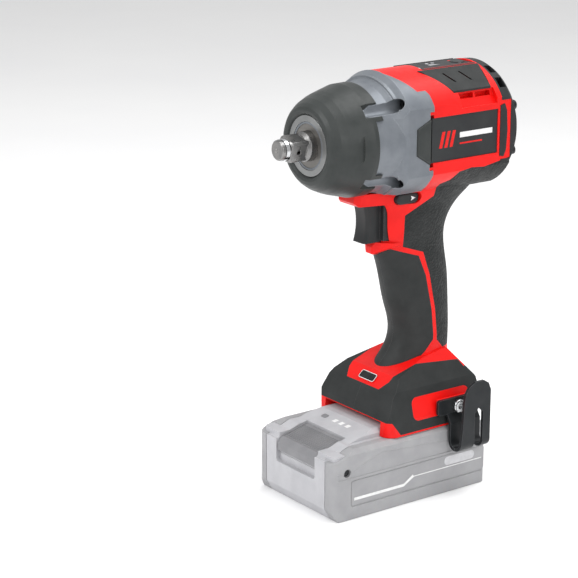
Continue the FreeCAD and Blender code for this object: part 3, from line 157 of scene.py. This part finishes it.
# Turned parts: the grain is drawn out along the drive axis
LATHE = (1.0, 0.05, 1.0)
# edge= gives each finish its paler edge colour: painted edge highlight together with wear
MATERIALS = {
    "red_shell": material("red_shell", (0.80, 0.006, 0.004), (0.70, 0.004, 0.003), (0.34, 0.46),
                          grain=("noise", 0.5), depth_mm=0.008, edge=(0.90, 0.05, 0.03), coat=0.05),
    "grip_rubber": material("grip_rubber", (0.019, 0.021, 0.021), (0.026, 0.028, 0.028), (0.48, 0.60),
                            grain=("noise", 0.35), depth_mm=0.02, edge=(0.075, 0.08, 0.08), round_mm=0.6),
    "grip_dimples": material("grip_dimples", (0.017, 0.019, 0.019), (0.026, 0.028, 0.028), (0.50, 0.66),
                             grain=("cells", 1.7), depth_mm=0.7, edge=(0.07, 0.075, 0.075), round_mm=0.6),
    "boot_rubber": material("boot_rubber", (0.030, 0.034, 0.033), (0.040, 0.044, 0.043), (0.34, 0.46),
                            grain=("noise", 0.4), depth_mm=0.012, edge=(0.09, 0.095, 0.09), round_mm=0.7),
    "cast_case": material("cast_case", (0.15, 0.165, 0.185), (0.19, 0.205, 0.225), (0.32, 0.44),
                          metallic=0.35,
                          grain=("noise", 0.9), depth_mm=0.03, edge=(0.36, 0.38, 0.40), round_mm=0.8),
    "black_plastic": material("black_plastic", (0.020, 0.021, 0.022), (0.027, 0.028, 0.029), (0.42, 0.56),
                              grain=("noise", 0.5), depth_mm=0.02, edge=(0.09, 0.095, 0.095)),
    "panel_plastic": material("panel_plastic", (0.021, 0.022, 0.024), (0.028, 0.030, 0.031), (0.40, 0.52),
                              grain=("noise", 0.3), depth_mm=0.012, edge=(0.09, 0.09, 0.09)),
    "drive_steel": material("drive_steel", (0.20, 0.20, 0.20), (0.27, 0.265, 0.26), (0.26, 0.36),
                            metallic=1.0,
                            grain=("noise", 0.6), depth_mm=0.002, stretch=LATHE, edge=(0.62, 0.61, 0.60),
                            patch_mm=5.0),
    "nose_steel": material("nose_steel", (0.22, 0.225, 0.225), (0.27, 0.275, 0.275), (0.28, 0.40),
                           metallic=0.85, grain=("noise", 0.4), depth_mm=0.008, edge=(0.60, 0.60, 0.60)),
    "bush_bronze": material("bush_bronze", (0.17, 0.165, 0.155), (0.21, 0.20, 0.19), (0.34, 0.45),
                            metallic=0.9, grain=("noise", 0.3), depth_mm=0.01, speck=(0.12, 0.11, 0.09)),
    "black_screw": material("black_screw", (0.022, 0.023, 0.025), (0.032, 0.033, 0.035), (0.26, 0.38),
                            metallic=0.5, grain=("noise", 0.4), depth_mm=0.01, edge=(0.16, 0.16, 0.16),
                            patch_mm=3.0),
    "zinc_screw": material("zinc_screw", (0.55, 0.56, 0.57), (0.66, 0.67, 0.68), (0.18, 0.30), metallic=1.0,
                           grain=("noise", 0.3), depth_mm=0.008, edge=(0.85, 0.85, 0.85), patch_mm=2.5),
    "hammer_steel": material("hammer_steel", (0.16, 0.16, 0.17), (0.24, 0.24, 0.25), (0.28, 0.45),
                             metallic=1.0, grain=("noise", 0.8), depth_mm=0.02, edge=(0.45, 0.45, 0.45)),
    "spring_steel": material("spring_steel", (0.28, 0.29, 0.32), (0.38, 0.39, 0.42), (0.22, 0.34),
                             metallic=1.0, grain=("noise", 0.3), depth_mm=0.006, patch_mm=4.0),
    "gear_steel": material("gear_steel", (0.34, 0.34, 0.35), (0.44, 0.44, 0.45), (0.20, 0.34), metallic=1.0,
                           grain=("noise", 0.3), depth_mm=0.006, stretch=LATHE, edge=(0.70, 0.70, 0.70),
                           patch_mm=4.0),
    "bearing_steel": material("bearing_steel", (0.52, 0.53, 0.54), (0.62, 0.63, 0.64), (0.12, 0.24),
                              metallic=1.0, grain=("noise", 0.3), depth_mm=0.004, stretch=LATHE,
                              patch_mm=4.0),
    "stator_steel": material("stator_steel", (0.20, 0.21, 0.23), (0.28, 0.29, 0.31), (0.32, 0.48),
                             metallic=0.9, grain=("bands", 0.5), depth_mm=0.05, patch_mm=8.0),
    "copper_coil": material("copper_coil", (0.50, 0.20, 0.09), (0.62, 0.28, 0.13), (0.22, 0.34), metallic=0.9,
                            grain=("bands", 0.9), depth_mm=0.12, patch_mm=6.0, coat=0.4),
    "fan_nylon": material("fan_nylon", (0.045, 0.045, 0.052), (0.06, 0.06, 0.07), (0.45, 0.6),
                          grain=("noise", 0.6), depth_mm=0.02, edge=(0.11, 0.11, 0.12)),
    "trigger_plastic": material("trigger_plastic", (0.018, 0.020, 0.021), (0.026, 0.027, 0.028), (0.32, 0.44),
                                grain=("noise", 0.4), depth_mm=0.01, edge=(0.12, 0.12, 0.12), round_mm=0.8),
    "switch_plastic": material("switch_plastic", (0.09, 0.09, 0.10), (0.12, 0.12, 0.13), (0.42, 0.55),
                               grain=("noise", 0.6), depth_mm=0.02, edge=(0.2, 0.2, 0.2)),
    "board_green": material("board_green", (0.02, 0.13, 0.06), (0.03, 0.18, 0.09), (0.28, 0.40),
                            grain=("cells", 2.2), depth_mm=0.05, patch_mm=5.0, speck=(0.55, 0.45, 0.2)),
    "contact_brass": material("contact_brass", (0.62, 0.48, 0.22), (0.72, 0.58, 0.30), (0.20, 0.32),
                              metallic=1.0, grain=("noise", 0.4), depth_mm=0.006, patch_mm=3.0),
    "hook_steel": material("hook_steel", (0.018, 0.020, 0.022), (0.026, 0.028, 0.030), (0.28, 0.42),
                           metallic=0.3, grain=("noise", 0.7), depth_mm=0.015, edge=(0.20, 0.21, 0.22),
                           round_mm=0.4),
    "pack_light": material("pack_light", (0.42, 0.42, 0.44), (0.47, 0.47, 0.49), (0.42, 0.55),
                           grain=("noise", 0.5), depth_mm=0.02, edge=(0.62, 0.62, 0.63), round_mm=0.6),
    "pack_dark": material("pack_dark", (0.30, 0.30, 0.31), (0.34, 0.34, 0.35), (0.42, 0.56),
                          grain=("noise", 0.5), depth_mm=0.02, edge=(0.50, 0.50, 0.51), round_mm=0.6),
    "latch_grey": material("latch_grey", (0.20, 0.20, 0.21), (0.24, 0.24, 0.25), (0.40, 0.52),
                           grain=("noise", 0.4), depth_mm=0.02, edge=(0.45, 0.45, 0.46)),
    "gauge_grey": material("gauge_grey", (0.17, 0.17, 0.175), (0.20, 0.20, 0.205), (0.25, 0.36),
                           grain=("noise", 0.4), depth_mm=0.008, edge=(0.42, 0.42, 0.42), coat=0.2),
    "cell_wrap": material("cell_wrap", (0.05, 0.22, 0.32), (0.07, 0.28, 0.40), (0.20, 0.32),
                          grain=("noise", 1.2), depth_mm=0.02, patch_mm=9.0),
    "o_ring": material("o_ring", (0.02, 0.02, 0.02), (0.03, 0.03, 0.03), (0.4, 0.55),
                       grain=("noise", 0.3), depth_mm=0.01, patch_mm=2.0),
}
PRINT_WHITE = material("print_white", (0.80, 0.80, 0.80), (0.72, 0.72, 0.72), (0.35, 0.48),
                       grain=("noise", 0.3), depth_mm=0.004, patch_mm=3.0)
PRINT_RED = material("print_red", (0.72, 0.012, 0.010), (0.62, 0.010, 0.008), (0.35, 0.48),
                     grain=("noise", 0.3), depth_mm=0.004, patch_mm=3.0)
PRINT_GREY = material("print_grey", (0.50, 0.50, 0.52), (0.56, 0.56, 0.58), (0.35, 0.48),
                      grain=("noise", 0.3), depth_mm=0.004, patch_mm=3.0)
DARK_GAP = material("dark_gap", (0.012, 0.012, 0.013), (0.02, 0.02, 0.021), (0.5, 0.7),
                    grain=("noise", 0.5), depth_mm=0.01, patch_mm=4.0)


def dress_nodes():
    """Every CAD node takes the material of its slot; the textured rear grip has its own."""
    finishes = {part["node"]: part["material_slot"] for part in frame["record"]["subparts"]}
    for name, node in nodes.items():
        slot = "grip_dimples" if name.startswith("grip_rear") else finishes[name]
        node.data.materials.clear()
        node.data.materials.append(MATERIALS[slot])
        for face in node.data.polygons:
            face.material_index = 0


# ---- small meshes -------------------------------------------------------------------
def piece(name, mesh_maker, body, look):
    """A new object from a function that fills a bmesh, riding on a body."""
    mesh = bpy.data.meshes.new(name)
    shape = bmesh.new()
    mesh_maker(shape)
    bmesh.ops.recalc_face_normals(shape, faces=shape.faces)
    shape.to_mesh(mesh)
    shape.free()
    mesh.materials.append(look)
    made = bpy.data.objects.new(name, mesh)
    bpy.context.scene.collection.objects.link(made)
    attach(made, body)
    return made


def slab(shape, outline, place, across, up, thickness, bevel=0.0):
    """A flat plate: outline points (u, v) in mm on the plane through place, raised on its normal."""
    across, up = Vector(across).normalized(), Vector(up).normalized()
    normal = across.cross(up)
    bottom = [shape.verts.new(Vector(place) + (across * u + up * v) * MM) for u, v in outline]
    face = shape.faces.new(bottom)
    raised = bmesh.ops.extrude_face_region(shape, geom=[face])
    top = [item for item in raised["geom"] if isinstance(item, bmesh.types.BMVert)]
    bmesh.ops.translate(shape, verts=top, vec=normal * thickness * MM)
    if bevel:
        rim = {edge for vert in top for edge in vert.link_edges
               if all(end in top for end in edge.verts)}
        bmesh.ops.bevel(shape, geom=list(rim), offset=bevel * MM, segments=2, affect="EDGES", profile=0.5)


def rounded(width, height, radius, steps=4):
    """Outline of a rectangle with round corners, centred."""
    points = []
    for corner, (side, end) in enumerate(((1, 1), (-1, 1), (-1, -1), (1, -1))):
        for step in range(steps + 1):
            turn = math.radians(90 * corner + 90 * step / steps)
            points.append((side * (width / 2 - radius) + radius * math.cos(turn),
                           end * (height / 2 - radius) + radius * math.sin(turn)))
    return points


def bar(u0, u1, v0, v1):
    """Outline of a rectangle between two corners."""
    return [(u0, v0), (u1, v0), (u1, v1), (u0, v1)]


def plates(name, outlines, place, across, up, thickness, body, look, bevel=0.0):
    """One piece made of several flat plates on the same plane."""
    def fill(shape):
        for outline in outlines:
            slab(shape, outline, place, across, up, thickness, bevel)
    return piece(name, fill, body, look)


# ---- battery pack -------------------------------------------------------------------
def slope_frame(low_point, high_point):
    """Place and up direction of a slope that climbs along +Y between two (Y, Z) points."""
    rise = Vector((0, high_point[0] - low_point[0], high_point[1] - low_point[1]))
    return Vector((0, low_point[0], low_point[1])), rise.normalized(), rise.length / MM


def latch_ribs():
    """Fine cross ribs on the latch key between two raised rails."""
    low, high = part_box("battery_latch")
    start, up, length = slope_frame((low.y + 2.9 * MM, high.z - 4.6 * MM), (high.y, high.z))
    half = (high.x - low.x) / 2 / MM - 2.0
    pitch = 1.35
    count = int((length - 3.0) / pitch)
    ribs = [bar(-half, half, 1.6 + pitch * k, 2.3 + pitch * k) for k in range(count)]
    plates("latch_ribs", ribs, start, (1, 0, 0), up, 0.45, "pack_latch",
           MATERIALS["latch_grey"], bevel=0.2)
    rails = [bar(-half - 1.6, -half - 0.7, 1.2, length - 0.8),
             bar(half + 0.7, half + 1.6, 1.2, length - 0.8)]
    plates("latch_rails", rails, start, (1, 0, 0), up, 0.7, "pack_latch",
           MATERIALS["latch_grey"], bevel=0.25)


def gauge_lights():
    """Three lamp windows and the test button on the sloping gauge panel."""
    low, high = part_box("gauge_panel")
    start, up, length = slope_frame((low.y, high.z - 3.0 * MM), (high.y, high.z))
    middle = length / 2
    lamps = [[(u - 1.9, middle - 1.5), (u + 1.2, middle - 1.5),
              (u + 1.9, middle + 1.5), (u - 1.2, middle + 1.5)] for u in (-3.0, 3.2, 9.4)]
    windows = [bar(-6.8, 13.4, middle - 2.9, middle + 2.9), bar(-17.2, -9.6, middle - 2.6, middle + 2.6)]
    plates("gauge_windows", windows, start, (1, 0, 0), up, 0.2, "pack",
           MATERIALS["gauge_grey"], bevel=0.08)
    plates("gauge_lamps", lamps, start, (1, 0, 0), up, 0.35, "pack", PRINT_WHITE, bevel=0.12)
    button = [(u - 13.4, v + middle) for u, v in rounded(5.0, 3.6, 1.2)]
    plates("gauge_button", [button], start, (1, 0, 0), up, 0.6, "pack",
           MATERIALS["latch_grey"], bevel=0.25)


def side_marks(side, tag):
    """Plain label film in the side recess with a pale stripe and an empty tag; no lettering."""
    _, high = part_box("battery_side_left")
    place = Vector((side * (high.x - 0.6 * MM), 0.0, 0.0))
    across = (0, side, 0)
    film = [(u + 6.0 * side, v + 16.2) for u, v in rounded(104.0, 15.6, 1.6)]
    plates("label_film" + tag, [film], place, across, (0, 0, 1), 0.2, "pack",
           MATERIALS["pack_dark"], bevel=0.05)
    stripes = [bar(-44.0, -6.0, 11.4, 13.2), [(-6.0, 11.4), (-6.0, 13.2), (1.0, 17.6), (2.0, 16.0)],
               bar(2.0, 56.0, 16.0, 16.6)]
    stripes = [[(u * side, v) for u, v in stripe] for stripe in stripes]
    lifted = place + Vector((side * 0.2 * MM, 0, 0))
    plates("label_stripe" + tag, stripes, lifted, across, (0, 0, 1), 0.06, "pack", PRINT_WHITE)
    tag_outline = [(u + 38.0 * side, v + 20.2) for u, v in rounded(24.0, 5.6, 2.6)]
    plates("label_tag" + tag, [tag_outline], lifted, across, (0, 0, 1), 0.06,
           "pack", PRINT_GREY)
    for k, (y, z, sunk) in enumerate(((-49.4, 29.8, 1.95), (-37.5, 3.5, 0.5), (38.0, 3.6, 0.5))):
        centre = Vector((side * (high.x - sunk * MM), y * MM, z * MM))
        pack_screw("pack_screw%s_%d" % (tag, k), centre, side)


def pack_screw(name, centre, side):
    """A small screw head with its socket, facing out of the pack's side."""
    height = 0.45

    def head(shape):
        slab(shape, rounded(4.4, 4.4, 2.1), centre, (0, side, 0), (0, 0, 1), height, 0.2)
        hub = centre + Vector((side * height * MM, 0, 0))
        slab(shape, rounded(1.9, 1.9, 0.5), hub, (0, side, 0), (0, 0, 1), 0.02)
    piece(name, head, "pack", MATERIALS["black_screw"])


# ---- head ---------------------------------------------------------------------------
def badge(side, tag):
    """A plain generic badge on the side panel: three slanted strokes and two bars, no lettering."""
    low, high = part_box("side_panels")
    place = Vector((side * high.x, 0.0, (low.z + high.z) / 2))
    across = (0, side, 0)
    strokes = [[(20.6 + 4.0 * k, -5.4), (23.0 + 4.0 * k, -5.4), (25.4 + 4.0 * k, 4.4), (23.0 + 4.0 * k, 4.4)]
               for k in range(3)]
    long_bar = bar(36.5, 62.0, -0.6, 2.6)
    short_bar = bar(36.5, 54.0, -4.6, -3.6)
    marks = (("badge_strokes", strokes, PRINT_RED), ("badge_bar", [long_bar], PRINT_WHITE),
             ("badge_underline", [short_bar], PRINT_RED))
    for name, outlines, look in marks:
        turned = [[(u * side, v) for u, v in outline] for outline in outlines]
        plates(name + tag, turned, place, across, (0, 0, 1), FILM, "housing", look)


def panel_graphics():
    """Generic marks on the control panel on top: a rule, four setting dots and a level wedge."""
    low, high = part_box("control_panel")
    place = Vector((0.0, 0.0, high.z + 0.01 * MM))
    across, up = (1, 0, 0), (0, 1, 0)
    half = high.x / MM
    back, front = high.y / MM, low.y / MM
    rule = bar(-half + 2.6, half - 3.4, front + 0.9, front + 1.6)
    dots = [[(u + x, v + y) for u, v in rounded(2.2, 2.2, 1.0)] for x, y in
            ((-4.0, front + 14.5), (-4.0, front + 19.0), (3.4, front + 34.0))]
    wedge = [(-1.0, front + 12.5), (1.6, front + 12.5), (1.6, front + 20.5)]
    lamp = [(u - 4.6, v + front + 32.4) for u, v in rounded(2.0, 2.0, 0.95)]
    side_line = bar(half - 1.3, half - 0.8, front + 2.0, back - 1.4)
    marks = (("panel_rule", [rule], PRINT_WHITE), ("panel_dots", dots + [wedge], PRINT_GREY),
             ("panel_lamp", [lamp, side_line], PRINT_RED))
    for name, outlines, look in marks:
        plates(name, outlines, place, across, up, FILM, "housing", look)


def lever_arrows():
    """A small pale arrow on each end of the direction lever."""
    low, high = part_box("direction_lever")
    arrow = [(-1.5, -1.5), (2.2, 0.0), (-1.5, 1.5), (-0.6, 0.0)]
    for side, tag in ((1, "_left"), (-1, "_right")):
        place = Vector((side * high.x, high.y - 5.0 * MM, (low.z + high.z) / 2))
        turned = [(side * u, v) for u, v in arrow]
        plates("lever_arrow" + tag, [turned], place, (0, side, 0), (0, 0, 1), 0.06, "direction_lever",
               PRINT_WHITE)


def foot_sticker():
    """A blank sticker on the sloping red band in front of the handle."""
    start, up, length = slope_frame((-8.6 * MM, 68.9 * MM), (-2.2 * MM, 74.9 * MM))
    normal = Vector((1, 0, 0)).cross(up)
    start = start + normal * 0.28 * MM
    middle, rim_height = length / 2, 0.12
    rim = [(u + 1.0, v + middle) for u, v in rounded(14.5, 5.6, 1.5)]
    face = [(u + 1.0, v + middle) for u, v in rounded(13.7, 4.8, 1.2)]
    plates("sticker_rim", [rim], start, (1, 0, 0), up, rim_height, "housing", PRINT_WHITE)
    plates("sticker_face", [face], start + normal * rim_height * MM, (1, 0, 0), up, FILM, "housing",
           DARK_GAP)


# ---- studio -------------------------------------------------------------------------
def studio():
    """A plain pale floor, an even pale sky and three soft lamps."""
    floor_material = material("studio_floor", (0.94, 0.94, 0.94), (0.92, 0.92, 0.925), (0.75, 0.9),
                              grain=("noise", 6.0), depth_mm=0.02, patch_mm=300.0)
    mesh = bpy.data.meshes.new("floor")
    reach = 30.0
    corners = [(-reach, -reach, 0), (reach, -reach, 0), (reach, reach, 0), (-reach, reach, 0)]
    mesh.from_pydata(corners, [], [(0, 1, 2, 3)])
    mesh.materials.append(floor_material)
    floor = bpy.data.objects.new("floor", mesh)
    floor.location.z = -0.0002
    bpy.context.scene.collection.objects.link(floor)

    world = bpy.data.worlds.new("studio")
    world.use_nodes = True
    sky = world.node_tree.nodes["Background"]
    sky.inputs["Color"].default_value = (1.0, 1.0, 1.0, 1.0)
    sky.inputs["Strength"].default_value = 0.66
    bpy.context.scene.world = world

    lamps = (("key", (-0.15, -1.15, 1.0), 0.7, 11.0), ("fill", (1.35, -0.1, 0.75), 0.8, 7.0),
             ("top", (0.1, 0.35, 1.35), 0.9, 12.0))
    for name, place, size, power in lamps:
        data = bpy.data.lights.new(name, "AREA")
        data.size = size
        data.energy = power
        lamp = bpy.data.objects.new(name, data)
        lamp.location = place
        aim = Vector((0, 0, 0.13)) - Vector(place)
        lamp.rotation_euler = aim.to_track_quat("-Z", "Y").to_euler()
        bpy.context.scene.collection.objects.link(lamp)


def camera():
    """Long-lens view from the tool's front left, a little above it."""
    data = bpy.data.cameras.new("camera")
    data.lens = 124.43
    data.sensor_width = 36.0
    tilt_down, turn_left = math.radians(16.29), math.radians(53.90)
    view = bpy.data.objects.new("camera", data)
    view.location = (0.90771, -0.72644, 0.46548)
    view.rotation_euler = (math.radians(90) - tilt_down, 0.0, turn_left)
    bpy.context.scene.collection.objects.link(view)
    bpy.context.scene.camera = view
    bpy.context.scene.view_settings.view_transform = "Standard"


dress_nodes()
latch_ribs()
gauge_lights()
side_marks(1, "_left")
side_marks(-1, "_right")
badge(1, "_left")
badge(-1, "_right")
panel_graphics()
lever_arrows()
foot_sticker()
studio()
camera()
